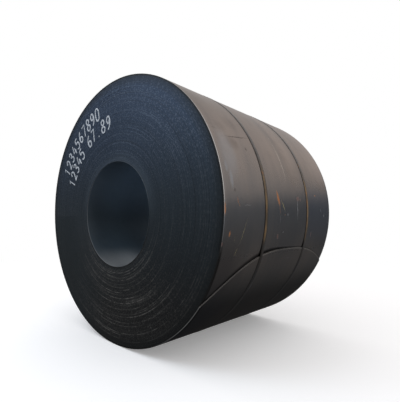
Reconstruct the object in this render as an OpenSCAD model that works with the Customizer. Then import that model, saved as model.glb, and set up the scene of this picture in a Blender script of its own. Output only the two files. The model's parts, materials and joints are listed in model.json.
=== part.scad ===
// Hot rolled steel coil, lying on its side, with two steel bands round it.
// Millimetres. The bore runs along Y, +Z is up, and the origin is on the bore's
// axis at the middle of the strip's width. The front end faces -Y.

/* [Coil] */
// Diameter of the bore, as the mandrel left it
bore_d = 762; // [500:1:900]
// Thickness of the steel strip
strip_t = 6; // [3:0.5:12]
// Turns from the bore to the outside
turns = 98; // [40:1:130]
// Width of the strip, which is the length of the coil
strip_w = 1500; // [1000:10:1900]

/* [Turn edges] */
// Width of the groove between two turns, on both ends
groove_w = 1.6; // [0.6:0.2:2.4]
// Depth of the groove between two turns
groove_d = 1.2; // [0.4:0.2:2]

/* [Tail] */
// Where the tip of the strip's tail points: 0 is +X, and minus is below it
tip_angle = -14.3; // [-60:0.1:60]
// Place of the tip along Y
tip_y = 80; // [-200:10:200]
// How far the rounded tail falls back at the front end, along the strip
front_run = 333; // [100:1:360]
// How far the rounded tail falls back at the rear end, along the strip
rear_run = 145; // [60:1:300]

/* [Bands] */
// Width of a band
band_w = 32; // [16:1:50]
// Thickness of a band
band_t = 1; // [0.6:0.1:1.6]
// Distance between the middles of the two bands
band_spacing = 610; // [300:10:800]
// Where the two ends of a band are joined, past the tail's tip and over the top
joint_angle = 160; // [100:1:170]
// Length over which the two ends of a band lie on each other
joint_lap = 150; // [100:1:240]

/* [Seals] */
// Length of the crimped seal on the joint of a band
seal_l = 57; // [30:1:80]
// Thickness of the sheet the seal is made of
seal_t = 1.2; // [0.8:0.1:2]

/* [Hidden] */
$fn = 180;

seat_gap = 0.3;                       // between pieces that lie on each other
bore_r = bore_d / 2;
coil_r = bore_r + turns * strip_t;    // outside of the last turn, at its tail
half_w = strip_w / 2;
front_band_y = -band_spacing / 2;
rear_band_y = band_spacing / 2;

// The section's own x axis points just above the tail's tip. From there the last turn runs
// clockwise, half round on the bore's axis and half round on a centre that lies half a
// strip's thickness back, so that it comes round one thickness lower, under the tail.
tip_drop = 1;                         // degrees from the section's x axis down to the tip
half_t = strip_t / 2;
over_r = coil_r - half_t;             // radius of the second half, on its own centre
plain_turns = 4;                      // outermost turns, which carry no groove
core_r = coil_r - strip_t - half_t;   // outside of the turned core, within the last turns
shell_r = core_r - strip_t;           // inside of the last turns, within the core

// The rounded tail
front_power = 3;                      // how square the corner at the front end is
rear_power = 2.4;                     // and the one at the rear end
outline_steps = 24;                   // points from one end of the strip to the other
overshoot = 5;                        // how far a cut runs past the strip's edges
land_short = 0.8;                     // degrees that a band lands before it would touch by itself

// The angle that a length along a turn of radius r takes up
function degrees_of(arc, r) = arc * 180 / (PI * r);

// How far the tail falls back from its tip at a place along Y, along the strip
function run_back(y) =
    y < tip_y ? front_run * pow((tip_y - y) / (tip_y + half_w), front_power)
              : rear_run * pow((y - tip_y) / (half_w - tip_y), rear_power);

// The same as an angle in the section
function end_angle(y) = -tip_drop - degrees_of(run_back(y), coil_r);

function on_circle(r, a) = [r * cos(a), r * sin(a)];

// Turns the section, drawn in XY and raised along Z, so that its Z becomes -Y
module lay_down() {
    rotate([90, 0, 0]) rotate([0, 0, tip_angle + tip_drop]) children();
}

// Half a ring round Z, as long as the strip is wide
module half_ring(r_in, r_out, from) {
    rotate([0, 0, from])
        rotate_extrude(angle = 180)
            translate([r_in, -half_w]) square([r_out - r_in, strip_w]);
}

// Outline of one turned end: a flat for each turn, and a groove between it and the next
function end_line(side) = [
    for (i = [1 : turns - plain_turns])
        for (p = [[-groove_w / 2, 0], [0, -groove_d], [groove_w / 2, 0]])
            [bore_r + i * strip_t + p[0], side * (half_w + p[1])]
];

function reversed(list) = [for (i = [len(list) - 1 : -1 : 0]) list[i]];

module turned_core() {
    rotate_extrude()
        polygon(concat(
            [[bore_r, half_w]], end_line(1), [[core_r, half_w], [core_r, -half_w]],
            reversed(end_line(-1)), [[bore_r, -half_w]]));
}

// What is missing from the last turn past its rounded end
module tail_cut() {
    mid = end_angle(-half_w) / 2;
    past = half_w + overshoot;
    open = coil_r * sin(-mid) + overshoot;
    difference() {
        rotate([0, 90, mid])
            translate([0, 0, coil_r / 2])
                linear_extrude(coil_r)
                    polygon(concat(
                        [for (i = [0 : outline_steps])
                            let (y = (2 * i / outline_steps - 1) * past)
                                [y, coil_r * sin(end_angle(y) - mid)]],
                        [[past, open], [-past, open]]));
        cylinder(r = coil_r - strip_t, h = strip_w + 4 * overshoot, center = true);
        translate([0, 0, -strip_w]) cube([2 * coil_r, coil_r, 2 * strip_w]);
    }
}

module coil() {
    color("#3a3f42")
        lay_down() {
            turned_core();
            translate([-half_t, 0, 0]) half_ring(shell_r, over_r, 0);
            difference() {
                half_ring(shell_r, coil_r, -180);
                tail_cut();
            }
        }
}

// Outline of the coil grown by out, as a tight band goes round it: over the last turn up to
// the tail's end, straight down to the turn under it, and round with that one.
module wrap_outline(out, leave) {
    far = 2 * coil_r;
    over = coil_r + out;
    under = over_r + out;
    corner = on_circle(over, leave);
    from_centre = corner + [half_t, 0];
    land = atan2(from_centre[1], from_centre[0]) + acos(under / norm(from_centre)) - land_short;
    landing = on_circle(under, land) - [half_t, 0];
    along = (landing - corner) / norm(landing - corner);
    intersection() {
        circle(over);
        polygon([
            landing + along * under * sin(land_short), [0, 0], [-far, 0], [-far, -far],
            [far, -far], corner - along * coil_r / 2]);
    }
    intersection() {
        translate([-half_t, 0]) circle(under);
        polygon([[0, 0], on_circle(far, land - 2 * land_short), [far, far], [-far, far], [-far, 0]]);
    }
}

module band(y) {
    top_y = min(max(tip_y, y - band_w / 2), y + band_w / 2);
    leave = end_angle(top_y);
    lap_r = over_r + seat_gap + band_t;
    lap = degrees_of(joint_lap / 2, lap_r);
    color("#4a3a2c")
        lay_down()
            translate([0, 0, -y - band_w / 2])
                linear_extrude(band_w) {
                    difference() {
                        wrap_outline(seat_gap + band_t, leave);
                        wrap_outline(seat_gap, leave);
                    }
                    intersection() {
                        translate([-half_t, 0])
                            difference() {
                                circle(lap_r + band_t);
                                circle(lap_r);
                            }
                        polygon([
                            [0, 0], on_circle(2 * coil_r, joint_angle - lap),
                            on_circle(2 * coil_r, joint_angle + lap)]);
                    }
                }
}

// A sheet channel, crimped down over both layers of the joint
module seal(y) {
    in_r = over_r + 2 * seat_gap;
    top_r = over_r + 2 * seat_gap + 2 * band_t;
    out_r = top_r + seal_t;
    half = degrees_of(seal_l / 2, over_r);
    side = band_w / 2 + seat_gap;
    color("#57504a")
        lay_down()
            translate([-half_t, 0, 0])
                rotate([0, 0, joint_angle - half])
                    rotate_extrude(angle = 2 * half)
                        translate([0, -y])
                            polygon([
                                [in_r, -side], [in_r, -side - seal_t],
                                [out_r, -side - seal_t], [out_r, side + seal_t],
                                [in_r, side + seal_t], [in_r, side],
                                [top_r, side], [top_r, -side]]);
}

module front_band() { band(front_band_y); }
module rear_band() { band(rear_band_y); }
module front_seal() { seal(front_band_y); }
module rear_seal() { seal(rear_band_y); }

coil();
front_band();
rear_band();
front_seal();
rear_seal();
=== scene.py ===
import json
import math

import bpy
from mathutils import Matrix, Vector, noise


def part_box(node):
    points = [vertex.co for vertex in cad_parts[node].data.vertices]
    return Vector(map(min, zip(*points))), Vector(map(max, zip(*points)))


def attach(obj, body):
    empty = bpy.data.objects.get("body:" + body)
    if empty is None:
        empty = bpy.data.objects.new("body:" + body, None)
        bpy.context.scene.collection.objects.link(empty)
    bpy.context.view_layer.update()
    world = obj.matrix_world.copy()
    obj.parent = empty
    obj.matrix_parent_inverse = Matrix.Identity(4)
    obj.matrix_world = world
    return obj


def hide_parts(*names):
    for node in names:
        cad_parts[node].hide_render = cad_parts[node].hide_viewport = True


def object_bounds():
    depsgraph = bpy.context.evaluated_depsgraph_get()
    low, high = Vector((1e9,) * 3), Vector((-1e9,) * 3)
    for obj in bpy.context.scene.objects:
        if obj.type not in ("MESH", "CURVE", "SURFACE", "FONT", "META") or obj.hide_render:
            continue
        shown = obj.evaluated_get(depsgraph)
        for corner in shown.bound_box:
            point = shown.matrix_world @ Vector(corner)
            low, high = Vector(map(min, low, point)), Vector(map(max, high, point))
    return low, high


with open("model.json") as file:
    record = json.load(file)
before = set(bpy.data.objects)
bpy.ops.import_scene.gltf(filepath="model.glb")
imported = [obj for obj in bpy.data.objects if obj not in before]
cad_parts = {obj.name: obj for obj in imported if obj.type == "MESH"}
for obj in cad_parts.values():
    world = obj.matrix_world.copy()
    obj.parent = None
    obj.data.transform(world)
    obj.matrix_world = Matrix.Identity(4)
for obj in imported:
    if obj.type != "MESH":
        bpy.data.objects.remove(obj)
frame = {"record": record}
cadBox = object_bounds()
mounts = {mount["name"]: mount for mount in frame["record"]["mounts"]}

outerRadius = -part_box("coil")[0].z  # of the last turn, under the coil
boreRadius = mounts["bore"]["dims"]["r_mm"] / 1000
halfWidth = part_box("coil")[1].y
floorHeight = cadBox[0].z

# the strip, wound up; angles are in degrees: 0 is +X, 90 is up
coilSpec = {
    "thickness": 0.006,
    "columns": 144,  # steps round the coil
    "wallRows": 48,  # rows of faces across the last turn
    "boreRows": 10,
    "grooveWidth": 0.0014,  # between one turn's edge and the next
    "grooveDepth": 0.0016,
    "inset": 0.0008,  # from the CAD box to the proudest turn
    "wander": 0.0006,  # how far the turns stand in and out, over many of them
    "wanderPace": 0.11,
    "shake": 0.0008,  # and from each to the next
    "shakePace": 0.83,
    "sectionAngle": -13.3,  # from here round, the turns lie over the section's two half circles
    "tipAngle": -14.3,  # where the tip of the tail points
    "tipY": 0.08,
    "frontRun": 0.333,  # how far the tail's two corners fall back from its tip
    "rearRun": 0.145,
    "frontPower": 3.0,  # how square the corners are
    "rearPower": 2.4,
    "merge": 2e-5,  # points nearer than this are joined
    "smoothAngle": 25,
    "endZone": 0.006,  # faces this near the end of the CAD box get the ends' material
    "boreZone": 0.02,  # and those this near the bore get the bore's
}
laps = round((outerRadius - boreRadius) / coilSpec["thickness"]) - 1


def tailAngle(y):  # where the last turn ends at this place across the strip
    if y < coilSpec["tipY"]:
        share = (coilSpec["tipY"] - y) / (coilSpec["tipY"] + halfWidth)
        back = coilSpec["frontRun"] * share ** coilSpec["frontPower"]
    else:
        share = (y - coilSpec["tipY"]) / (halfWidth - coilSpec["tipY"])
        back = coilSpec["rearRun"] * share ** coilSpec["rearPower"]
    return coilSpec["tipAngle"] - math.degrees(back / outerRadius)


def woundIn(angle):  # how much nearer the axis the strip is, once it has wound back to this angle
    lap, turned = divmod(coilSpec["sectionAngle"] - angle, 360)
    part = 0 if turned < 180 else (1 + math.cos(math.radians(turned))) / 2
    return coilSpec["thickness"] * (lap + part)


def edgeDepth(winding, side):  # how far a turn's edge lies back from the end of the CAD box
    wander, shake = coilSpec["wander"], coilSpec["shake"]
    slow = noise.noise(Vector((winding * coilSpec["wanderPace"], 3.7 * side, 1.3)))
    quick = noise.noise(Vector((winding * coilSpec["shakePace"], 9.1 * side, 5.9)))
    return coilSpec["inset"] + wander * (0.6 + slow) + shake * (0.6 + quick)  # the noise is seldom past 0.6


# small helpers for edit mode
def startEdit(piece):
    bpy.ops.object.select_all(action="DESELECT")
    piece.select_set(True)
    bpy.context.view_layer.objects.active = piece
    bpy.ops.object.mode_set(mode="EDIT")
    bpy.ops.mesh.select_all(action="DESELECT")


def pickEdges(piece, wanted):  # selects the edges whose two ends pass the test
    bpy.ops.mesh.select_mode(type="EDGE")
    bpy.ops.mesh.select_all(action="DESELECT")
    bpy.ops.object.mode_set(mode="OBJECT")
    points = [v.co for v in piece.data.vertices]
    for edge in piece.data.edges:
        edge.select = wanted(points[edge.vertices[0]], points[edge.vertices[1]])
    bpy.ops.object.mode_set(mode="EDIT")


def endEdit(smoothAngle):
    bpy.ops.mesh.select_all(action="SELECT")
    bpy.ops.mesh.normals_make_consistent(inside=False)
    bpy.ops.object.mode_set(mode="OBJECT")
    bpy.ops.object.shade_smooth_by_angle(angle=math.radians(smoothAngle))


def looseEdges(piece):  # edges that a closed mesh doesn't have
    startEdit(piece)
    bpy.ops.mesh.select_mode(type="EDGE")
    bpy.ops.mesh.select_non_manifold()
    bpy.ops.object.mode_set(mode="OBJECT")
    return sum(edge.select for edge in piece.data.edges)


def polar(radius, degrees, y):
    return Vector((radius * math.cos(math.radians(degrees)), y, radius * math.sin(math.radians(degrees))))


def spinBack(steps, degrees):  # spins what is selected round the bore, the way the strip winds in
    bpy.ops.mesh.spin(steps=steps, angle=-math.radians(degrees), center=(0, 0, 0), axis=(0, 1, 0))


def degreesBack(x, z):  # how far a point has been spun, from 0 up to 360
    return (math.degrees(math.atan2(z, -x)) + 180.01) % 360 - 0.01


# the coil: its section is drawn as a rectangle, cut up, spun round and then wound
nearlyRound = 0.999  # of a turn, so that the last column can be told from the first


def makeCoil():
    thickness = coilSpec["thickness"]
    inner = boreRadius + thickness
    depth = outerRadius - inner
    bpy.ops.mesh.primitive_plane_add(size=1, location=(inner + depth / 2, 0, 0))
    piece = bpy.context.object
    piece.name = "woundStrip"
    bpy.ops.object.mode_set(mode="EDIT")
    bpy.ops.transform.resize(value=(depth, 2 * halfWidth, 1))
    bpy.ops.mesh.delete(type="ONLY_FACE")
    bpy.ops.object.mode_set(mode="OBJECT")
    bpy.ops.object.transform_apply(location=True, rotation=True, scale=True)
    startEdit(piece)
    for cuts in (2, laps - 1):  # three stretches for each turn: its edge, and the groove's two sides
        pickEdges(piece, lambda a, b: abs(a.y - b.y) < 0.1)
        bpy.ops.mesh.subdivide(number_cuts=cuts)
    pickEdges(piece, lambda a, b: abs(a.y - b.y) > 0.1 and a.x > inner + 0.1)
    bpy.ops.mesh.subdivide(number_cuts=coilSpec["wallRows"] - 1)
    pickEdges(piece, lambda a, b: abs(a.y - b.y) > 0.1 and a.x < inner + 0.1)
    bpy.ops.mesh.subdivide(number_cuts=coilSpec["boreRows"] - 1)
    bpy.ops.mesh.select_all(action="SELECT")
    spinBack(coilSpec["columns"], 360 * nearlyRound)
    bpy.ops.object.mode_set(mode="OBJECT")
    windUp(piece, inner)
    return piece


def windUp(piece, inner):
    thickness = coilSpec["thickness"]
    columns = coilSpec["columns"]
    column = 360 * nearlyRound / columns
    within = [0, coilSpec["grooveWidth"] / 2, thickness - coilSpec["grooveWidth"] / 2]
    for vertex in piece.data.vertices:
        x, y, z = vertex.co
        radius = math.hypot(x, z)
        turned = round(degreesBack(x, z) / column) * 360 / columns
        angle = tailAngle(y) - turned
        place = y
        if abs(y) > halfWidth - 1e-4:
            side = math.copysign(1, y)
            lap, part = divmod(round((radius - inner) * 3 / thickness), 3)
            radius = inner + lap * thickness + within[part]
            winding = laps - 1 - lap + turned / 360
            setBack = edgeDepth(winding, side)
            if part == 0:
                setBack = max(setBack, edgeDepth(winding + 1, side)) + coilSpec["grooveDepth"]
            place = y - side * setBack
        vertex.co = polar(radius - woundIn(angle), angle, place)


def closeCoil(piece):
    startEdit(piece)
    bpy.ops.mesh.select_all(action="SELECT")
    bpy.ops.mesh.remove_doubles(threshold=coilSpec["merge"])
    for isOuter in (True, False):  # the step at the tail, and the one in the bore at the strip's head
        bpy.ops.mesh.select_all(action="DESELECT")
        bpy.ops.mesh.select_mode(type="EDGE")
        bpy.ops.mesh.select_non_manifold()
        bpy.ops.object.mode_set(mode="OBJECT")
        middle = (boreRadius + outerRadius) / 2
        for edge in piece.data.edges:
            a, b = (piece.data.vertices[i].co for i in edge.vertices)
            outer = math.hypot(a.x, a.z) > middle
            isAcross = abs(a.y - b.y) > 0.01
            edge.select = edge.select and outer == isOuter and isAcross
        bpy.ops.object.mode_set(mode="EDIT")
        bpy.ops.mesh.bridge_edge_loops()
    bpy.ops.mesh.select_all(action="SELECT")
    bpy.ops.mesh.fill_holes(sides=8)
    endEdit(coilSpec["smoothAngle"])


coilPiece = makeCoil()
closeCoil(coilPiece)
print("coil:", len(coilPiece.data.polygons), "faces,", looseEdges(coilPiece), "loose edges")
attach(coilPiece, "root")
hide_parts("coil")

# bands: a flat steel band follows the coil, and runs straight over the step at the tail
bandSpec = {
    "width": 0.032,
    "thickness": 0.001,
    "gap": 0.0003,  # under it
    "columns": 180,
    "jointLap": 0.15,  # the two ends lie on each other for this long
    "edgeRound": 0.0003,
    "smoothAngle": 40,
}


def bandRadius(leave, turned, lift):  # inside of the band this many degrees back from the tail's edge
    onTop = outerRadius + bandSpec["gap"] + lift
    below = onTop - coilSpec["thickness"]
    bridge = math.degrees(math.acos(below / onTop))
    if turned > 360 - bridge:
        return below / math.cos(math.radians(turned - 360 + bridge))
    return onTop - woundIn(leave - turned)


def makeBandRing(name, middle, leave, start, sweep, lift):
    width, thickness = bandSpec["width"], bandSpec["thickness"]
    bpy.ops.object.select_all(action="DESELECT")
    bpy.ops.mesh.primitive_plane_add(size=1, location=(outerRadius, middle, 0))
    piece = bpy.context.object
    piece.name = name
    bpy.ops.object.mode_set(mode="EDIT")
    bpy.ops.transform.resize(value=(thickness, width, 1))
    bpy.ops.mesh.select_all(action="SELECT")
    bpy.ops.mesh.bevel(offset=bandSpec["edgeRound"], segments=2, affect="VERTICES")
    bpy.ops.object.mode_set(mode="OBJECT")
    bpy.ops.object.transform_apply(location=True, rotation=True, scale=True)
    startEdit(piece)
    bpy.ops.mesh.select_all(action="SELECT")
    isRing = sweep >= 360
    steps = max(4, round(bandSpec["columns"] * sweep / 360))
    if isRing:
        bpy.ops.mesh.delete(type="ONLY_FACE")
        bpy.ops.mesh.select_all(action="SELECT")
    spinBack(steps, sweep)
    bpy.ops.mesh.select_all(action="SELECT")
    if isRing:
        bpy.ops.mesh.remove_doubles(threshold=1e-5)
    bpy.ops.object.mode_set(mode="OBJECT")
    for vertex in piece.data.vertices:
        x, y, z = vertex.co
        out = math.hypot(x, z) - outerRadius + thickness / 2
        turned = degreesBack(x, z) + start
        vertex.co = polar(bandRadius(leave, turned, lift) + out, leave - turned, y)
    startEdit(piece)
    endEdit(bandSpec["smoothAngle"])
    return piece


def makeBand(name, node):
    near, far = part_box(node)
    middle = (near.y + far.y) / 2
    edges = [near.y, far.y, min(max(coilSpec["tipY"], near.y), far.y)]
    leave = max(tailAngle(y) for y in edges)
    sealNear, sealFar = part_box(node.replace("band", "seal"))
    joint = (sealNear + sealFar) / 2
    jointTurned = leave - math.degrees(math.atan2(joint.z, joint.x)) + 360
    overlap = math.degrees(bandSpec["jointLap"] / outerRadius)
    ring = makeBandRing(name, middle, leave, 0, 360, 0)
    end = makeBandRing(
        name + "End", middle, leave, jointTurned - overlap / 2, overlap, bandSpec["thickness"]
    )
    bpy.ops.object.select_all(action="DESELECT")
    end.select_set(True)
    ring.select_set(True)
    bpy.context.view_layer.objects.active = ring
    bpy.ops.object.join()
    print(name, "joint at", round(jointTurned, 1), "degrees back,", looseEdges(ring), "loose edges")
    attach(ring, "root")
    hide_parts(node)
    return ring


bands = [makeBand("frontStrap", "front_band"), makeBand("rearStrap", "rear_band")]

# seals: a sheet channel, crimped down over the joint of each band
sealSpec = {
    "sheet": 0.0011,
    "length": 0.0565,
    "room": 0.0004,  # over the joint, and off the CAD seal's width
    "columns": 14,  # faces across
    "rows": 24,  # faces along
    "foldFrom": 0.86,  # share of the half width where its sides turn down
    "foldDrop": 0.0022,
    "foldRate": 1.15,
    "crimps": (0.27, 0.73),  # places of the crimps along the seal
    "crimpSpread": 0.055,
    "crimpFrom": 0.45,  # share of the half width where a crimp starts to press down
    "crimpDrop": 0.00098,
    "pinchFrom": 0.5,  # and where it starts to draw the sides in
    "pinch": 0.10,
    "flareFrom": 0.93,  # share of the half length where the ends turn up
    "flare": 0.0002,
    "smoothAngle": 35,
}


def beyond(share, start):  # 0 up to start, and then as far past it as share is
    return max(0.0, abs(share) - start)


def bendSheet(sheet, middle, angle, width):  # lays the flat sheet round the joint and crimps it
    spec = sealSpec
    lift = bandSpec["gap"] + 2 * bandSpec["thickness"] + spec["sheet"] + spec["room"]
    top = outerRadius + lift
    for vertex in sheet.vertices:
        across = vertex.co.x / (width / 2)
        along = (vertex.co.y - middle.y) / spec["length"] + 0.5
        fold = beyond(across, spec["foldFrom"]) / (1 - spec["foldFrom"])
        pinch = sum(math.exp(-(((along - c) / spec["crimpSpread"]) ** 2)) for c in spec["crimps"])
        flare = beyond(along * 2 - 1, spec["flareFrom"]) / (1 - spec["flareFrom"])
        side = across * width / 2 * (1 - spec["pinch"] * beyond(across, spec["pinchFrom"]) * pinch)
        drop = spec["foldDrop"] * min(1.0, fold * spec["foldRate"])
        drop += spec["crimpDrop"] * pinch * beyond(across, spec["crimpFrom"])
        place = angle + math.degrees((along - 0.5) * spec["length"] / top)
        radius = top - woundIn(place - 360) - drop + spec["flare"] * flare
        vertex.co = polar(radius, place, middle.y + side)


def makeSeal(name, node):
    near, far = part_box(node)
    middle = (near + far) / 2
    angle = math.degrees(math.atan2(middle.z, middle.x))
    width = far.y - near.y - sealSpec["room"]
    bpy.ops.object.select_all(action="DESELECT")
    bpy.ops.mesh.primitive_grid_add(
        x_subdivisions=sealSpec["columns"], y_subdivisions=sealSpec["rows"],
        size=1, location=(0, middle.y, 0),
    )
    piece = bpy.context.object
    piece.name = name
    bpy.ops.object.mode_set(mode="EDIT")
    bpy.ops.transform.resize(value=(width, sealSpec["length"], 1))
    bpy.ops.object.mode_set(mode="OBJECT")
    bpy.ops.object.transform_apply(location=True, rotation=True, scale=True)
    bendSheet(piece.data, middle, angle, width)
    thicken = piece.modifiers.new("sheet", "SOLIDIFY")
    thicken.thickness = sealSpec["sheet"]
    startEdit(piece)
    bpy.ops.mesh.select_all(action="SELECT")
    bpy.ops.mesh.normals_make_consistent(inside=False)
    bpy.ops.object.mode_set(mode="OBJECT")
    middleFace = piece.data.polygons[len(piece.data.polygons) // 2]
    outward = middleFace.normal.dot(Vector((middleFace.center.x, 0, middleFace.center.z))) > 0
    thicken.offset = -1 if outward else 1
    bpy.ops.object.modifier_apply(modifier="sheet")
    startEdit(piece)
    endEdit(sealSpec["smoothAngle"])
    print(name, "at", round(angle, 1), "degrees,", looseEdges(piece), "loose edges")
    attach(piece, "root")
    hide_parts(node)
    return piece


seals = [makeSeal("frontSealSheet", "front_seal"), makeSeal("rearSealSheet", "rear_seal")]

# figures painted on the front end, in counting order, along two arcs round the bore
figureSpec = {
    "rows": [
        {"text": "1234567890", "radius": 0.760, "start": 151.0, "step": -5.0},
        {"text": "12345 67.89", "radius": 0.637, "start": 155.4, "step": -5.93},
    ],
    "height": 0.098,
    "spread": 0.92,  # narrows or widens the figures
    "stroke": 0.0135,  # width of the brush
    "rings": 14,  # along one bend of a stroke
    "film": 0.0003,  # how far the paint stands off the turns
    "longest": 0.012,  # a face of a stroke that is longer than this is cut up
    "cuts": 9,
    "reach": 0.0025,  # nearer than this to a groove it lies on the prouder of the two turns
}
brushStrokes = {  # each figure as brush strokes in a box half as wide as it is high
    "0": [("round", True, [(0.25, 1), (0.01, 0.52), (0.24, 0), (0.49, 0.5)])],
    "1": [("straight", False, [(0.1, 0.78), (0.3, 1), (0.27, 0)])],
    "2": [("round", False, [(0.02, 0.76), (0.22, 1), (0.46, 0.78), (0.3, 0.36), (0.02, 0.0)]),
          ("straight", False, [(0.0, 0.01), (0.5, 0.03)])],
    "3": [("round", False, [(0.03, 0.9), (0.27, 0.99), (0.43, 0.76), (0.18, 0.54)]),
          ("round", False, [(0.16, 0.55), (0.47, 0.3), (0.26, 0.0), (0.0, 0.1)])],
    "4": [("straight", False, [(0.3, 1), (0.0, 0.34), (0.52, 0.36)]),
          ("straight", False, [(0.4, 0.62), (0.36, 0)])],
    "5": [("straight", False, [(0.47, 1), (0.1, 0.98), (0.06, 0.58)]),
          ("round", False, [(0.05, 0.565), (0.32, 0.62), (0.48, 0.32), (0.26, 0.0), (0.0, 0.1)])],
    "6": [("round", False, [(0.4, 0.98), (0.1, 0.66), (0.03, 0.26), (0.25, 0), (0.47, 0.26),
                            (0.27, 0.5), (0.05, 0.3)])],
    "7": [("straight", False, [(0.0, 0.97), (0.48, 1), (0.16, 0)])],
    "8": [("round", True, [(0.25, 0.54), (0.05, 0.78), (0.25, 1), (0.45, 0.78), (0.25, 0.54),
                           (0.01, 0.26), (0.25, 0), (0.48, 0.26)])],
    "9": [("round", False, [(0.45, 0.74), (0.24, 0.48), (0.04, 0.74), (0.24, 1), (0.46, 0.74),
                            (0.42, 0.34), (0.18, 0.0)])],
    ".": [("straight", False, [(0.2, 0.02), (0.28, 0.02)])],
}


def endHeight(x, z, side):  # how far the end of the coil lies in at this place
    thickness = coilSpec["thickness"]
    tail = tailAngle(side * halfWidth)
    turned = (tail - math.degrees(math.atan2(z, x))) % 360
    wound = (outerRadius - math.hypot(x, z) - woundIn(tail - turned)) / thickness
    lap = math.floor(wound)
    depth = edgeDepth(lap + turned / 360, side)
    for neighbour, away in ((lap - 1, wound - lap), (lap + 1, lap + 1 - wound)):
        if away * thickness < figureSpec["reach"]:
            depth = min(depth, edgeDepth(neighbour + turned / 360, side))
    return depth


def paintRow(row):
    curve = bpy.data.curves.new("figures", "CURVE")
    curve.dimensions = "3D"
    curve.resolution_u = figureSpec["rings"]
    curve.bevel_depth = figureSpec["stroke"] / 2
    curve.bevel_resolution = 3
    curve.use_fill_caps = True
    height = figureSpec["height"]
    for place, figure in enumerate(row["text"]):
        angle = math.radians(row["start"] + place * row["step"])
        out = Vector((math.cos(angle), 0, math.sin(angle)))
        right = Vector((math.sin(angle), 0, -math.cos(angle)))
        for kind, closed, points in brushStrokes.get(figure, []):
            spline = curve.splines.new("BEZIER")
            spline.bezier_points.add(len(points) - 1)
            spline.use_cyclic_u = closed
            handles = "AUTO" if kind == "round" else "VECTOR"
            for point, (across, up) in zip(spline.bezier_points, points):
                aside = (across - 0.25) * height * figureSpec["spread"]
                point.co = out * (row["radius"] + up * height) + right * aside
                point.handle_left_type = point.handle_right_type = handles
    piece = bpy.data.objects.new("paintedFigures", curve)
    bpy.context.scene.collection.objects.link(piece)
    return piece


def layFigures():
    rows = [paintRow(row) for row in figureSpec["rows"]]
    bpy.ops.object.select_all(action="DESELECT")
    for row in rows:
        row.select_set(True)
    bpy.context.view_layer.objects.active = rows[0]
    bpy.ops.object.convert(target="MESH")
    bpy.ops.object.join()
    piece = bpy.context.object
    piece.name = "paintedFigures"
    startEdit(piece)
    bpy.ops.mesh.select_all(action="SELECT")
    bpy.ops.mesh.remove_doubles(threshold=1e-5)  # joins the caps to the strokes
    bpy.ops.mesh.subdivide(number_cuts=1)
    pickEdges(piece, lambda a, b: (a - b).length > figureSpec["longest"])
    bpy.ops.mesh.subdivide(number_cuts=figureSpec["cuts"])  # a straight stroke comes as one long face
    bpy.ops.mesh.select_all(action="SELECT")
    bpy.ops.mesh.normals_make_consistent(inside=False)
    bpy.ops.object.mode_set(mode="OBJECT")
    for vertex in piece.data.vertices:
        x, y, z = vertex.co
        flat = y / (figureSpec["stroke"] / 2) * figureSpec["film"]
        vertex.co.y = -halfWidth + endHeight(x, z, -1) + flat
    bpy.ops.object.shade_smooth()
    print("figures:", len(piece.data.polygons), "faces")
    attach(piece, "root")
    return piece


figures = layFigures()

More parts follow.
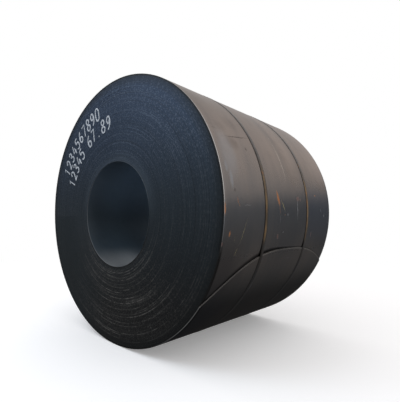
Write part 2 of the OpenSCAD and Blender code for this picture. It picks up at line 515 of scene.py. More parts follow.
class Shader:  # a material, with the ranges and colours of one finish
    def __init__(self, name, spec):
        self.spec = spec
        self.colour = None
        self.material = bpy.data.materials.new(name)
        self.material.use_nodes = True
        self.tree = self.material.node_tree
        self.surface = self.tree.nodes["Principled BSDF"]
        self.place = self.add("ShaderNodeTexCoord").outputs["Object"]

    def add(self, kind, **settings):
        node = self.tree.nodes.new(kind)
        for key, value in settings.items():
            setattr(node, key, value)
        return node

    def feed(self, socket, value):
        if isinstance(value, bpy.types.NodeSocket):
            self.tree.links.new(value, socket)
        else:
            socket.default_value = value

    def calc(self, operation, *values, clamp=False):
        node = self.add("ShaderNodeMath", operation=operation, use_clamp=clamp)
        for socket, value in zip(node.inputs, values):
            self.feed(socket, value)
        return node.outputs[0]

    def times(self, first, *others):
        for other in others:
            first = self.calc("MULTIPLY", first, other)
        return first

    def split(self, vector):
        node = self.add("ShaderNodeSeparateXYZ")
        self.feed(node.inputs[0], vector)
        return node.outputs

    def merge(self, x, y, z):
        node = self.add("ShaderNodeCombineXYZ")
        for socket, value in zip(node.inputs, (x, y, z)):
            self.feed(socket, value)
        return node.outputs[0]

    def scaled(self, vector, factors):
        node = self.add("ShaderNodeVectorMath", operation="MULTIPLY")
        self.feed(node.inputs[0], vector)
        node.inputs[1].default_value = factors
        return node.outputs[0]

    def grain(self, vector, scale, detail, rough=0.55):
        node = self.add("ShaderNodeTexNoise")
        self.feed(node.inputs["Vector"], vector)
        node.inputs["Scale"].default_value = scale
        node.inputs["Detail"].default_value = detail
        node.inputs["Roughness"].default_value = rough
        return node.outputs["Fac"]

    def stretched(self, name, detail):  # grain with a scale of its own for each axis
        return self.grain(self.scaled(self.place, self.spec[name]), 1.0, detail)

    def grainAlong(self, number, pace, detail):
        node = self.add("ShaderNodeTexNoise", noise_dimensions="1D")
        self.feed(node.inputs["W"], number)
        node.inputs["Scale"].default_value = self.spec[pace]
        node.inputs["Detail"].default_value = detail
        return node.outputs["Fac"]

    def ramp(self, value, start, end, low=0.0, high=1.0):
        node = self.add("ShaderNodeMapRange", interpolation_type="SMOOTHSTEP")
        for socket, number in zip(node.inputs, (value, start, end, low, high)):
            self.feed(socket, number)
        return node.outputs[0]

    def fade(self, name, value):  # how far a value is into one of the finish's own ranges
        return self.ramp(value, *self.spec[name])

    def blend(self, share, first, second):
        node = self.add("ShaderNodeMix", data_type="RGBA")
        self.feed(node.inputs["Factor"], share)
        for socket, colour in zip(node.inputs[6:8], (first, second)):
            self.feed(socket, colour if isinstance(colour, bpy.types.NodeSocket) else (*colour, 1))
        return node.outputs[2]

    def start(self, first, second, share):  # the colour that the others go over
        self.colour = self.blend(share, self.spec[first], self.spec[second])

    def within(self, **ranges):  # 1 where every value is all the way into the range of that name
        return self.times(*(self.fade(name, value) for name, value in ranges.items()))

    def coat(self, name, *shares, **ranges):  # lays one of the finish's colours over what is there
        shares = [*shares, self.within(**ranges)] if ranges else shares
        self.colour = self.blend(self.times(*shares), self.colour, self.spec[name])

    def bump(self, height, distance):
        node = self.add("ShaderNodeBump")
        node.inputs["Distance"].default_value = distance
        self.feed(node.inputs["Height"], height)
        self.feed(self.surface.inputs["Normal"], node.outputs["Normal"])

    def set(self, **sockets):
        for name, value in sockets.items():
            self.feed(self.surface.inputs[name.replace("_", " ")], value)

    def finish(self, rough, metal=0.0):
        self.set(Base_Color=self.colour, Roughness=rough, Metallic=metal)
        return self.material


def ringPlace(shader):  # angle in degrees, place across the strip, height and distance from the axis
    x, y, z = shader.split(shader.place)
    square = shader.calc("MULTIPLY_ADD", x, x, shader.times(z, z))
    angle = shader.calc("DEGREES", shader.calc("ARCTAN2", z, x))
    return angle, y, z, shader.calc("SQRT", square)


def turnPlace(shader, angle, radius):  # place across one turn, from 0 to 1, and along the wound strip
    turned = shader.calc("WRAP", shader.calc("SUBTRACT", coilSpec["sectionAngle"], angle), 360.0, 0.0)
    cosine = shader.calc("COSINE", shader.calc("RADIANS", turned))
    isSecondHalf = shader.calc("GREATER_THAN", turned, 180.0)
    stepIn = shader.times(isSecondHalf, shader.calc("MULTIPLY_ADD", cosine, 0.5, 0.5))
    depth = shader.calc("DIVIDE", shader.calc("SUBTRACT", outerRadius, radius), coilSpec["thickness"])
    turns = shader.calc("SUBTRACT", depth, stepIn)
    along = shader.calc("ADD", shader.calc("FLOOR", turns), shader.calc("DIVIDE", turned, 360.0))
    return shader.calc("FRACT", turns), along, turns


def gapMask(shader, across, width):  # 1 in the groove between two turns
    fromMiddle = shader.calc("ABSOLUTE", shader.calc("SUBTRACT", across, 0.5))
    return shader.ramp(fromMiddle, 0.5 - width, 0.5 - width * 0.4)


bandPlace = sum(corner.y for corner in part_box("rear_band")) / 2


def bandDistance(shader, y):  # metres from the middle of the nearer band
    return shader.calc("ABSOLUTE", shader.calc("SUBTRACT", shader.calc("ABSOLUTE", y), bandPlace))


# the wrap: mill scale, dust with a painted sky sheen on top, painted shade, light and highlights, and
# marks.
# In each finish, a range says where something starts and is full, and from what share to what share.
wrapSpec = {
    "scale": (0.148, 0.146, 0.148),  # mill scale
    "scaleWarm": (0.190, 0.176, 0.168),
    "warmRange": (0.36, 0.64),
    "scaleBlue": (0.148, 0.157, 0.181),  # half way up, from the rear band on
    "blueTop": (0.28, 0.12),
    "blueFoot": (-0.26, -0.12, 0.0, 0.65),
    "blueAcross": (0.27, 0.38),
    "oil": (0.010, 0.0105, 0.011),  # painted shade on the under side, and low along the front rim
    "oilHeight": (-0.2, -0.6),
    "oilBlue": (0.004, 0.010, 0.020),  # painted shade near the front end, low down
    "oilBlueAcross": (-0.42, -0.66),
    "oilBlueHeight": (0.0, -0.3, 0.0, 0.34),
    # dust on top, which is also a painted sheen of the sky on the upper side
    "dust": (0.385, 0.312, 0.268),
    "dustHeight": (0.0, 0.5),
    "dustClouds": (0.25, 0.7, 0.55, 1.0),
    "dustAcross": (-0.5, 0.6, 0.66, 1.0),
    "paleDust": (0.52, 0.43, 0.38),  # painted light near the rear end, high up, in a pale dust colour
    "paleAcross": (0.3, 0.75, 0.0, 0.45),
    "paleHeight": (0.14, 0.40),
    "stain": (0.205, 0.168, 0.145),
    "stainRange": (0.50, 0.66, 0.0, 0.28),
    "stainHeight": (-0.1, 0.3),
    "rust": (0.52, 0.19, 0.05),
    "dullRust": (0.22, 0.10, 0.08),
    "olive": (0.27, 0.235, 0.12),
    "bare": (0.34, 0.35, 0.37),
    "scratch": (0.70, 0.62, 0.53),
    # soot specks and marks; also the painted shadow beside the bands
    "soot": (0.03, 0.026, 0.025),
    "sootSpecks": (0.62, 0.80, 0.0, 0.3),
    "markEdge": (1.25, 0.35),  # share of a mark's half size where it starts and is full
    "ragged": 0.014,  # metres that the outlines of the marks are shaken by
    "flakes": (0.38, 0.54, 0.5, 1.0),  # in the rust
    "farSide": (0.0, -0.3),
    "farSpots": (0.70, 0.77, 0.0, 0.8),
    "farLines": (0.73, 0.78, 0.0, 0.5),
    "besideBand": (0.023, 0.0175),
    "besideHeight": (-0.36, -0.2, 0.1, 0.8),
    "rimWear": (0.62, 0.61, 0.60),  # painted highlight along both rims, stronger higher up
    "rimAcross": (0.739, 0.744),
    "rimHeight": (-0.3, 0.2, 0.15, 0.8),
    # painted shade low along the front rim
    "rimDirtAcross": (-0.722, -0.736),
    "rimDirtHeight": (-0.14, -0.26, 0.0, 0.85),
    "underTail": (0.006, 0.006, 0.007),  # painted shadow in the corner beside the tail's end
    "underReach": (0.1, -0.4, 0.014, 0.040),
    "underAcross": (-0.1, 0.3, 0.9, 0.5),
    "tailLine": 0.0009,  # metres past the tail's end, where the corner starts
    # painted highlight along the tail's cut edge
    "cutEdge": (0.40, 0.38, 0.36),
    "cutWidth": (-0.0070, -0.0045),
    "cutClouds": (0.3, 0.55, 0.45, 1.0),
    "cutAcross": (-0.25, -0.55, 1.0, 0.36),
    "streakSize": (0.9, 34, 0.9),  # of the grain, for each metre
    "wideSize": (0.6, 7, 0.6),
    "spotSize": (11, 34, 11),
    "lineSize": (3, 120, 3),
    "roughness": 0.23,
    "metal": 0.9,
}
# ovals: place across (m), angle, half width across (m), half length round (m), slant, strength
wrapMarks = {
    "rust": [
        (-0.147, 5.6, 0.0145, 0.054, 18, 1.0), (-0.127, 1.2, 0.004, 0.030, 8, 0.4),
        (-0.617, 3.4, 0.004, 0.022, 18, 0.6), (-0.604, 2.0, 0.005, 0.009, 0, 0.5),
        (-0.685, -7.6, 0.009, 0.019, -6, 0.8), (-0.741, 0.5, 0.008, 0.036, 0, 1.0),
        (0.464, 8.8, 0.016, 0.006, 8, 0.7), (-0.055, -0.6, 0.004, 0.005, 0, 0.5),
    ],
    "dullRust": [
        (0.145, 6.3, 0.024, 0.017, 20, 0.7), (0.185, 6.0, 0.011, 0.011, 0, 0.6),
        (-0.134, -9.2, 0.010, 0.019, 12, 0.7), (0.401, -9.0, 0.009, 0.022, 0, 0.5),
        (-0.741, -10.8, 0.008, 0.012, 0, 1.0), (0.585, 16.0, 0.012, 0.007, 0, 0.3),
    ],
    "olive": [
        (-0.083, 3.0, 0.0045, 0.048, 34, 1.0), (-0.548, -7.0, 0.0028, 0.080, -21, 0.7),
        (-0.595, -13.9, 0.0028, 0.026, -21, 0.8), (-0.630, -9.4, 0.004, 0.020, 0, 0.3),
    ],
    "bare": [
        (-0.013, -0.5, 0.006, 0.011, 0, 0.6),
        (-0.065, -7.5, 0.009, 0.005, 20, 0.45), (0.626, -0.2, 0.006, 0.013, 0, 0.5),
        (0.562, 2.1, 0.005, 0.017, 25, 0.35), (-0.517, 2.0, 0.038, 0.0018, 4, 0.35),
        (0.137, 2.0, 0.0030, 0.080, 0, 0.7), (-0.280, -29.0, 0.0024, 0.066, -6, 0.3),
        (0.085, -18.6, 0.036, 0.0022, 5, 0.35), (-0.660, 10.5, 0.016, 0.060, 0, 0.55),
        (-0.690, 14.5, 0.014, 0.040, 0, 0.45), (-0.120, -2.5, 0.003, 0.030, 0, 0.3),
        (-0.640, 20.0, 0.080, 0.160, 0, 0.3),
    ],
    "scratch": [(0.0, 23.5, 0.0030, 0.175, 0, 0.8), (0.010, 33.5, 0.006, 0.004, 0, 0.6)],
    "soot": [
        (-0.480, 27.3, 0.150, 0.0030, 9, 0.85), (-0.640, 6.6, 0.010, 0.010, 0, 0.5),
        (-0.425, 22.9, 0.010, 0.012, 0, 0.5), (-0.560, 24.0, 0.070, 0.050, 0, 0.16),
        (-0.690, 28.6, 0.022, 0.003, 0, 0.4), (-0.300, 32.0, 0.012, 0.030, 0, 0.2),
        (-0.470, 34.0, 0.080, 0.060, 0, 0.12), (-0.610, 30.5, 0.060, 0.040, 0, 0.12),
    ],
}


def markMask(steel, flat, spots):
    total = None
    for across, angle, halfAcross, halfLength, slant, strength in spots:
        fit = steel.add("ShaderNodeMapping", vector_type="TEXTURE")
        steel.feed(fit.inputs["Vector"], flat)
        fit.inputs["Location"].default_value = (across, math.radians(angle) * outerRadius, 0)
        fit.inputs["Rotation"].default_value = (0, 0, math.radians(slant))
        fit.inputs["Scale"].default_value = (halfAcross, halfLength, 1)
        away = steel.add("ShaderNodeVectorMath", operation="LENGTH")
        steel.feed(away.inputs[0], fit.outputs[0])
        mask = steel.ramp(away.outputs["Value"], *wrapSpec["markEdge"], 0.0, strength)
        total = mask if total is None else steel.calc("MAXIMUM", total, mask)
    return total


def tailGap(steel, angle, y):  # metres along the strip from the end of its tail, which is curved
    arc = steel.times(angle, math.radians(outerRadius))
    tipArc = math.radians(coilSpec["tipAngle"]) * outerRadius
    gap = steel.calc("SUBTRACT", arc, tipArc)
    for corner, run, power in (
        (-halfWidth, coilSpec["frontRun"], coilSpec["frontPower"]),
        (halfWidth, coilSpec["rearRun"], coilSpec["rearPower"]),
    ):
        span = corner - coilSpec["tipY"]
        share = steel.calc("DIVIDE", steel.calc("SUBTRACT", y, coilSpec["tipY"]), span, clamp=True)
        gap = steel.calc("MULTIPLY_ADD", steel.calc("POWER", share, power), run, gap)
    return gap


def raggedPlace(steel, angle, y):  # the wrap laid flat, in metres, and shaken a little
    shake = wrapSpec["ragged"]
    arc = steel.times(angle, math.radians(outerRadius))
    flat = steel.merge(
        steel.calc("SUBTRACT", y, shake / 2), steel.calc("SUBTRACT", arc, shake / 2), 0.0
    )
    cells = steel.add("ShaderNodeTexNoise")
    steel.feed(cells.inputs["Vector"], steel.place)
    cells.inputs["Scale"].default_value = 55
    moved = steel.add("ShaderNodeVectorMath", operation="MULTIPLY_ADD")
    steel.feed(moved.inputs[0], cells.outputs["Color"])
    moved.inputs[1].default_value = (shake, shake, 0)
    steel.feed(moved.inputs[2], flat)
    return moved.outputs[0]


def coatTail(steel, angle, y, clouds):  # a painted highlight on the cut edge, and a painted shadow in the corner beside it
    gap = tailGap(steel, angle, y)
    reach = steel.fade("underReach", y)
    # painted shadow in the corner beside the tail's end
    under = steel.ramp(gap, reach, steel.times(reach, 0.3))
    isPast = steel.calc("GREATER_THAN", gap, wrapSpec["tailLine"])
    steel.coat("underTail", under, isPast, underAcross=y)
    # painted highlight along the tail's cut edge
    isOn = steel.calc("LESS_THAN", gap, wrapSpec["tailLine"])
    steel.coat("cutEdge", isOn, cutWidth=gap, cutClouds=clouds, cutAcross=y)


def wrapSteel():
    steel = Shader("wrapSteel", wrapSpec)
    angle, y, z, _ = ringPlace(steel)
    streaks = steel.stretched("streakSize", 4)
    wide = steel.stretched("wideSize", 3)
    clouds = steel.grain(steel.place, 2.6, 5)
    specks = steel.grain(steel.place, 70, 3)
    share = steel.calc("ADD", steel.times(streaks, 0.3), steel.times(clouds, 0.7))
    steel.start("scale", "scaleWarm", steel.fade("warmRange", share))
    steel.coat("scaleBlue", blueTop=z, blueFoot=z, blueAcross=y)
    # painted shade on the under side, darkest at the bottom
    oily = steel.fade("oilHeight", z)
    steel.coat("oil", oily, 0.9)
    # painted shade near the front end, low down
    steel.coat("oilBlue", oilBlueAcross=y, oilBlueHeight=z)
    # dust on top, partly a painted sheen of the sky
    dust = steel.within(dustHeight=z, dustClouds=wide, dustAcross=y)
    steel.coat("dust", dust)
    # painted light near the rear end, high up
    steel.coat("paleDust", paleAcross=y, paleHeight=z)
    steel.coat("stain", stainRange=steel.grain(steel.place, 5.5, 6, 0.68), stainHeight=z)
    steel.coat("soot", sootSpecks=specks)

    flat = raggedPlace(steel, angle, y)
    flakes = steel.fade("flakes", steel.grain(steel.place, 120, 4, 0.65))
    masks = {}
    for kind, spots in wrapMarks.items():
        masks[kind] = markMask(steel, flat, spots)
        if kind in ("rust", "dullRust"):
            masks[kind] = steel.times(masks[kind], flakes)
        steel.coat(kind, masks[kind])

    farSide = steel.fade("farSide", steel.split(steel.place)[0])  # has the same marks, scattered
    steel.coat("dullRust", farSide, farSpots=steel.stretched("spotSize", 2))
    steel.coat("scratch", farSide, farLines=steel.stretched("lineSize", 1))

    # painted shadow beside both bands
    steel.coat("soot", besideBand=bandDistance(steel, y), besideHeight=z)
    # painted highlight along both rims, stronger higher up
    steel.coat("rimWear", rimAcross=steel.calc("ABSOLUTE", y), rimHeight=z)
    # painted shade low along the front rim
    steel.coat("oil", rimDirtAcross=y, rimDirtHeight=z)
    coatTail(steel, angle, y, clouds)

    marked = steel.calc("MAXIMUM", masks["rust"], masks["dullRust"])
    marked = steel.calc("MAXIMUM", marked, steel.calc("MAXIMUM", masks["olive"], masks["bare"]))
    dull = steel.calc("MAXIMUM", marked, steel.times(dust, 0.2))
    rough = steel.calc("MULTIPLY_ADD", specks, 0.04, wrapSpec["roughness"])
    rough = steel.calc("MULTIPLY_ADD", dull, 0.35, rough)
    rough = steel.calc("MULTIPLY_ADD", oily, 0.4, rough)
    metal = steel.calc("SUBTRACT", wrapSpec["metal"], steel.times(dull, 0.85), clamp=True)
    metal = steel.times(metal, steel.calc("SUBTRACT", 1.0, steel.times(oily, 0.7)))
    steel.set(Specular_IOR_Level=0.3, Specular_Tint=(0.45, 0.45, 0.45, 1))
    relief = steel.calc("ADD", steel.times(clouds, 1.2), steel.times(specks, 0.012))
    steel.bump(relief, 0.0025)
    return steel.finish(rough, metal)


endSpec = {
    # painted reflection: darker towards the bottom, lighter and bluer towards the top
    "bottom": (0.0172, 0.0182, 0.0188),
    "middle": (0.024, 0.036, 0.046),
    "middleHeight": (-0.75, 0.1),
    "top": (0.030, 0.052, 0.094),
    "topHeight": (-0.1, 0.85),
    "streakBottom": (0.215, 0.210, 0.198),  # bare steel where the edges are scuffed, bluer towards the top as a painted sky reflection
    "streakTop": (0.16, 0.20, 0.26),
    "streakHeight": (-0.5, 0.6),
    "longPace": 4.3,  # how often the scuffs change in one turn
    "longRange": (0.50, 0.60),
    "shortPace": 61.0,
    "shortRange": (0.36, 0.60, 0.25, 1.0),
    "finePace": 240.0,
    "fineRange": (0.35, 0.60, 0.55, 1.0),
    "groupPace": 0.53,
    "groupRange": (0.44, 0.57, 0.22, 1.0),
    "scuffClouds": (0.34, 0.6, 0.55, 1.0),
    "wornMiddle": -88.0,  # the angle round which the end is worn most
    "wornAngle": (70.0, 25.0, 0.15, 1.0),
    "wornRadius": (0.965, 0.89),
    "topScuffs": (0.05, 0.5, 0.10, 0.42),
    "specks": (0.60, 0.74),
    "grainHeight": (0.0, 0.7, 0.06, 0.34),
    "grainRange": (0.50, 0.66),
    "dark": (0.010, 0.012, 0.014),  # painted shade in the grooves, and a darker tone on some turns
    "darkPace": 2.3,
    "darkRange": (0.48, 0.30, 0.0, 0.25),
    # painted shade on the outer turns, darkest at the rim
    "outer": (0.010, 0.013, 0.014),
    "outerTurns": (14.0, 1.0, 0.0, 0.6),
    "rim": (0.006, 0.007, 0.007),
    "rimTurns": (2.6, 1.2, 0.0, 0.8),
    # painted shade on the lower left of the end
    "left": (0.007, 0.017, 0.023),
    "leftMiddle": -150.0,
    "leftAngle": (58.0, 20.0, 0.0, 0.55),
    "leftRadius": (0.45, 0.7),
    "lastTurn": (0.22, 0.22, 0.215),  # painted highlight on the last turn, below its tail
    "lastTurnAngle": (-72.0, -45.0),
    "mouth": (0.13, 0.165, 0.20),  # painted light round the bore, towards the top
    "mouthRadius": (0.47, 0.39),
    "mouthHeight": (-0.1, 0.2, 0.0, 0.22),
    # painted highlight on the bore's edge, towards the top
    "lip": (0.20, 0.22, 0.24),
    "lipRadius": (0.3875, 0.3845),
    "lipHeight": (0.0, 0.2, 0.0, 0.5),
    "sill": (0.008, 0.008, 0.009),  # painted shade under the bore
    "sillRadius": (0.405, 0.392),
    "sillHeight": (-0.1, -0.3, 0.0, 0.7),
    "gap": 0.09,  # share of a turn
    "roughness": 0.5,
    "metal": 0.5,
}


def fromAngle(steel, angle, middle):  # degrees away from this angle
    return steel.calc("ABSOLUTE", steel.calc("SUBTRACT", angle, middle))


def coatScuffs(steel, angle, z, radius, along):  # each turn has its own, along the strip
    long = steel.grainAlong(along, "longPace", 1)
    short = steel.grainAlong(along, "shortPace", 3)
    fine = steel.grainAlong(along, "finePace", 2)
    group = steel.grainAlong(along, "groupPace", 2)
    clouds = steel.grain(steel.place, 3.2, 4)
    specks = steel.grain(steel.place, 120, 2)
    # the scuffs are painted bluer towards the top, a reflection of the sky
    bright = steel.blend(steel.fade("streakHeight", z), endSpec["streakBottom"], endSpec["streakTop"])
    scuff = steel.within(longRange=long, shortRange=short, scuffClouds=clouds)
    scuff = steel.times(scuff, steel.within(groupRange=group, fineRange=fine))
    worn = steel.within(wornAngle=fromAngle(steel, angle, endSpec["wornMiddle"]), wornRadius=radius)
    scuffed = steel.calc("MAXIMUM", worn, steel.fade("topScuffs", z))
    grainy = steel.calc("MAXIMUM", steel.fade("grainHeight", z), steel.times(worn, 0.2))
    for share in (
        steel.times(scuff, scuffed),
        steel.times(steel.fade("specks", specks), scuffed, 0.6),
        steel.times(steel.fade("grainRange", fine), grainy),
    ):
        steel.colour = steel.blend(share, steel.colour, bright)
    steel.bump(steel.calc("ADD", short, specks), 0.0006)


def endSteel():  # the edges of the turns
    steel = Shader("endSteel", endSpec)
    angle, _, z, radius = ringPlace(steel)
    across, along, turns = turnPlace(steel, angle, radius)
    # painted reflection: darker towards the bottom, lighter and bluer towards the top
    steel.start("bottom", "middle", steel.fade("middleHeight", z))
    steel.coat("top", topHeight=z)
    coatScuffs(steel, angle, z, radius, along)
    steel.coat("dark", darkRange=steel.grainAlong(along, "darkPace", 2))
    # painted shade on the outer turns, darkest at the rim
    steel.coat("outer", outerTurns=turns)
    steel.coat("rim", rimTurns=turns)
    # painted shade on the lower left of the end
    fromLeft = fromAngle(steel, angle, endSpec["leftMiddle"])
    steel.coat("left", leftAngle=fromLeft, leftRadius=radius)
    # painted highlight on the last turn, below its tail
    isLast = steel.calc("LESS_THAN", turns, 0.85)
    isBelowTail = steel.calc("LESS_THAN", angle, coilSpec["tipAngle"])
    steel.coat("lastTurn", isLast, isBelowTail, 0.8, lastTurnAngle=angle)
    # painted light round the bore and on its edge, towards the top
    steel.coat("mouth", mouthRadius=radius, mouthHeight=z)
    steel.coat("lip", lipRadius=radius, lipHeight=z)
    # painted shade under the bore
    steel.coat("sill", sillRadius=radius, sillHeight=z)
    # painted shade in the grooves between the turns
    steel.coat("dark", gapMask(steel, across, endSpec["gap"]))
    return steel.finish(endSpec["roughness"], endSpec["metal"])


boreSpec = {
    # painted light and shade: the bore is lighter at the top and darker lower down
    "upper": (0.36, 0.52, 0.72),
    "upperPale": (0.44, 0.60, 0.80),
    "grainSize": (1, 5, 1),
    "lower": (0.074, 0.106, 0.134),
    "lowerHeight": (0.53, -0.05),
    "polished": (0.42, 0.43, 0.43),  # painted light along the bottom, towards both mouths, mostly on the -X side
    "polishedAcross": (0.12, 0.50),
    "polishedHeight": (-0.25, -0.40),
    "polishedSide": (0.12, -0.05, 0.05, 0.95),
    # painted shade near both mouths
    "ends": (0.028, 0.034, 0.040),
    "endsAcross": (0.42, 0.74, 0.0, 0.6),
    "mouth": (0.4, 0.42, 0.44),
    "mouthAcross": (0.738, 0.748, 0.0, 0.5),
    "roughness": (0.3, 0.7, 0.38, 0.52),
    "metal": 0.35,
}


def boreSteel():
    steel = Shader("boreSteel", boreSpec)
    x, y, z = steel.split(steel.place)
    fromMiddle = steel.calc("ABSOLUTE", y)
    # painted light and shade: lighter at the top, darker lower down
    steel.start("upper", "upperPale", steel.stretched("grainSize", 3))
    steel.coat("lower", lowerHeight=z)
    # painted light along the bottom, towards both mouths
    steel.coat("polished", polishedAcross=fromMiddle, polishedHeight=z, polishedSide=x)
    # painted shade near both mouths
    steel.coat("ends", endsAcross=fromMiddle)
    steel.coat("mouth", mouthAcross=fromMiddle)
    steel.bump(steel.grain(steel.place, 9, 4), 0.002)
    rough = steel.fade("roughness", steel.grain(steel.place, 14, 4))
    return steel.finish(rough, boreSpec["metal"])


bandFinish = {
    "steel": (0.036, 0.030, 0.025),
    "clean": (0.058, 0.052, 0.048),
    "cleanRange": (0.42, 0.66),
    "ochre": (0.25, 0.155, 0.060),
    "rustTop": (22.0, 10.0),  # degrees
    "rustFoot": (-12.5, -9.0),
    "rustPatches": (0.56, 0.70, 0.0, 0.8),
    "rustWidth": (0.0145, 0.007),
    "rustThin": (0.30, 0.55, 0.35, 1.0),
    "rustGrit": (0.28, 0.55, 0.5, 1.0),
    "rust": (0.36, 0.13, 0.035),
    "rustSpots": (0.55, 0.68),
    # painted shade along both edges of the band
    "edge": (0.015, 0.013, 0.011),
    "edgeAcross": (0.0125, 0.0155, 0.0, 0.7),
    "dirt": (0.014, 0.014, 0.014),  # painted shade on the band, below the tail and lower down
    "dirtAngle": (-15.0, -24.0, 0.0, 0.95),
    "dirtHeight": (0.0, -0.2),
    "roughness": 0.4,
    "metal": 0.75,
}


def bandSteel():
    steel = Shader("bandSteel", bandFinish)
    angle, y, z, _ = ringPlace(steel)
    patches = steel.grain(steel.place, 9, 5)
    grit = steel.grain(steel.place, 120, 3)
    toMiddle = bandDistance(steel, y)
    steel.start("steel", "clean", steel.fade("cleanRange", patches))
    rustZone = steel.within(rustTop=angle, rustFoot=angle)
    rusty = steel.calc("MAXIMUM", rustZone, steel.fade("rustPatches", patches))
    rusty = steel.times(rusty, steel.within(rustWidth=toMiddle, rustThin=patches, rustGrit=grit))
    steel.coat("ochre", rusty)
    steel.coat("rust", rusty, rustSpots=steel.grain(steel.place, 26, 3))
    # painted shade along both edges of the band
    steel.coat("edge", edgeAcross=toMiddle)
    # painted shade on the band, below the tail and lower down
    low = steel.within(dirtAngle=angle, dirtHeight=z)
    steel.coat("dirt", low)
    rough = steel.calc("MULTIPLY_ADD", low, 0.4, bandFinish["roughness"])
    rough = steel.calc("MULTIPLY_ADD", rusty, 0.25, rough)
    metal = steel.calc("SUBTRACT", bandFinish["metal"], steel.times(rusty, 0.6))
    metal = steel.times(metal, steel.calc("SUBTRACT", 1.0, low))
    steel.bump(grit, 0.0004)
    return steel.finish(rough, metal)


sealFinish = {
    "steel": (0.20, 0.18, 0.155),
    "dirt": (0.07, 0.058, 0.048),
    "dirtRange": (0.4, 0.65),
    "rust": (0.26, 0.11, 0.04),
    "rustRange": (0.6, 0.72),
    "roughness": 0.32,
    "metal": 0.75,
}


def sealSteel():
    steel = Shader("sealSteel", sealFinish)
    dirt = steel.fade("dirtRange", steel.grain(steel.place, 40, 4))
    steel.start("steel", "dirt", dirt)
    steel.coat("rust", rustRange=steel.grain(steel.place, 90, 3))
    steel.bump(steel.grain(steel.place, 160, 3), 0.0002)
    rough = steel.calc("MULTIPLY_ADD", dirt, 0.25, sealFinish["roughness"])
    return steel.finish(rough, sealFinish["metal"])


paintFinish = {
    "white": (0.66, 0.69, 0.72),
    "worn": (0.22, 0.25, 0.29),
    "wornRange": (0.42, 0.66, 0.0, 0.45),
    "dry": (0.14, 0.17, 0.2),  # where the brush ran dry on a turn's edge
    "dryPace": 60.0,
    "dryRange": (0.56, 0.7, 0.0, 0.4),
    # painted shade over the grooves between the turns
    "groove": (0.06, 0.07, 0.085),
    "gap": 0.10,  # share of a turn
    "roughness": 0.72,
}


def whitePaint():
    paint = Shader("whitePaint", paintFinish)
    angle, _, _, radius = ringPlace(paint)
    across, along, _ = turnPlace(paint, angle, radius)
    paint.start("white", "worn", paint.fade("wornRange", paint.grain(paint.place, 110, 3)))
    paint.coat("dry", dryRange=paint.grainAlong(along, "dryPace", 2))
    # painted shade over the grooves between the turns
    paint.coat("groove", gapMask(paint, across, paintFinish["gap"]))
    paint.bump(paint.grain(paint.place, 260, 2), 0.0003)
    return paint.finish(paintFinish["roughness"])


def coverCoil():
    for material in (wrapSteel(), endSteel(), boreSteel()):
        coilPiece.data.materials.append(material)
    for face in coilPiece.data.polygons:
        x, y, z = face.center
        radius = math.hypot(x, z)
        isEnd = abs(y) > halfWidth - coilSpec["endZone"]
        isBore = radius < boreRadius + coilSpec["boreZone"]
        face.material_index = 1 if isEnd else 2 if isBore else 0


coverCoil()
for band in bands:
    band.data.materials.append(bandSteel())
for seal in seals:
    seal.data.materials.append(sealSteel())
figures.data.materials.append(whitePaint())
print("materials:", coilPiece.name, len(coilPiece.data.materials), "and one for each other piece")

# stage, light and camera
studioSpec = {
    "floor": (0.92, 0.92, 0.92),
    "floorSize": 60,
    "floorGap": 0.0005,  # under the coil
    "floorGlow": 0.22,
    "fade": (2.0, 6.5),  # metres from the middle over which the floor turns to plain white
    # share of the way up from straight down, and the light from there
    "sky": [
        (0.00, (0.012, 0.012, 0.013)), (0.15, (0.075, 0.071, 0.070)), (0.34, (0.215, 0.202, 0.194)),
        (0.47, (0.240, 0.245, 0.253)), (0.605, (0.230, 0.268, 0.315)), (0.655, (0.76, 0.735, 0.73)),
        (0.74, (0.95, 0.92, 0.91)), (1.00, (1.00, 0.99, 1.00)),
    ],
    "skyTilt": 0.25,  # the dark side of the room reaches higher towards -X
    "frontLight": {"place": (-0.9, -3.2, 2.6), "size": 2.2, "power": 50, "colour": (0.72, 0.85, 1.0)},
}
bpy.ops.object.select_all(action="DESELECT")
bpy.ops.mesh.primitive_plane_add(
    size=studioSpec["floorSize"], location=(0, 0, floorHeight - studioSpec["floorGap"])
)
floor = bpy.context.object
floor.name = "floor"
floor.visible_diffuse = False
floor.visible_glossy = False


def coverFloor():
    pale = Shader("paleFloor", studioSpec)
    x, y, _ = pale.split(pale.place)
    away = pale.calc("SQRT", pale.calc("ADD", pale.times(x, x), pale.times(y, y)))
    pale.set(Base_Color=(*studioSpec["floor"], 1), Roughness=0.9, Emission_Color=(1, 1, 1, 1))
    pale.set(Emission_Strength=studioSpec["floorGlow"])
    glow = pale.add("ShaderNodeEmission")
    mix = pale.add("ShaderNodeMixShader")
    pale.feed(mix.inputs[0], pale.fade("fade", away))
    pale.feed(mix.inputs[1], pale.surface.outputs[0])
    pale.feed(mix.inputs[2], glow.outputs[0])
    pale.feed(pale.tree.nodes["Material Output"].inputs["Surface"], mix.outputs[0])
    floor.data.materials.append(pale.material)


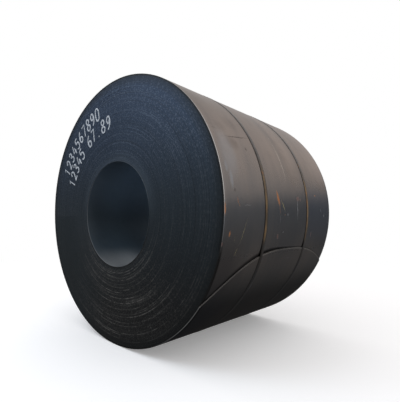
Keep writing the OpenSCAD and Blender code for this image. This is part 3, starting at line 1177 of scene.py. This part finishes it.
def lightWorld():
    world = bpy.data.worlds.new("studio")
    world.use_nodes = True
    bpy.context.scene.world = world
    nodes, links = world.node_tree.nodes, world.node_tree.links
    towards = nodes.new("ShaderNodeTexCoord")
    split = nodes.new("ShaderNodeSeparateXYZ")
    links.new(towards.outputs["Generated"], split.inputs[0])
    height = nodes.new("ShaderNodeMapRange")
    height.inputs["From Min"].default_value = -1
    tilted = nodes.new("ShaderNodeMath")
    tilted.operation = "MULTIPLY_ADD"
    links.new(split.outputs["X"], tilted.inputs[0])
    tilted.inputs[1].default_value = studioSpec["skyTilt"]
    links.new(split.outputs["Z"], tilted.inputs[2])
    links.new(tilted.outputs[0], height.inputs["Value"])
    ramp = nodes.new("ShaderNodeValToRGB")
    while len(ramp.color_ramp.elements) < len(studioSpec["sky"]):
        ramp.color_ramp.elements.new(0.5)
    for element, (place, colour) in zip(ramp.color_ramp.elements, studioSpec["sky"]):
        element.position = place
        element.color = (*colour, 1)
    links.new(height.outputs[0], ramp.inputs[0])
    seen = nodes.new("ShaderNodeLightPath")
    pick = nodes.new("ShaderNodeMix")
    pick.data_type = "RGBA"
    links.new(seen.outputs["Is Camera Ray"], pick.inputs["Factor"])
    links.new(ramp.outputs["Color"], pick.inputs[6])
    pick.inputs[7].default_value = (1, 1, 1, 1)
    links.new(pick.outputs[2], nodes["Background"].inputs["Color"])


def addFrontLight():
    spec = studioSpec["frontLight"]
    bpy.ops.object.light_add(type="AREA", location=spec["place"])
    light = bpy.context.object
    light.name = "softFrontLight"
    light.data.size = spec["size"]
    light.data.energy = spec["power"]
    light.data.color = spec["colour"]
    light.rotation_euler = (-Vector(spec["place"])).to_track_quat("-Z", "Y").to_euler()
    light.visible_camera = False


coverFloor()
lightWorld()
addFrontLight()
bpy.context.scene.view_settings.view_transform = "Standard"

cameraSpec = {
    "place": (1.9369, -2.1416, -0.0792),
    "heading": 47.07,  # degrees to the left of +Y
    "tilt": -2.07,
    "lens": 28.735,
    "shift": (0.1117, 0.0888),
}
bpy.ops.object.camera_add(
    location=cameraSpec["place"],
    rotation=(math.radians(90 + cameraSpec["tilt"]), 0, math.radians(cameraSpec["heading"])),
)
camera = bpy.context.object
camera.data.lens = cameraSpec["lens"]
camera.data.shift_x, camera.data.shift_y = cameraSpec["shift"]
bpy.context.scene.camera = camera
print("floor, light and camera are set")
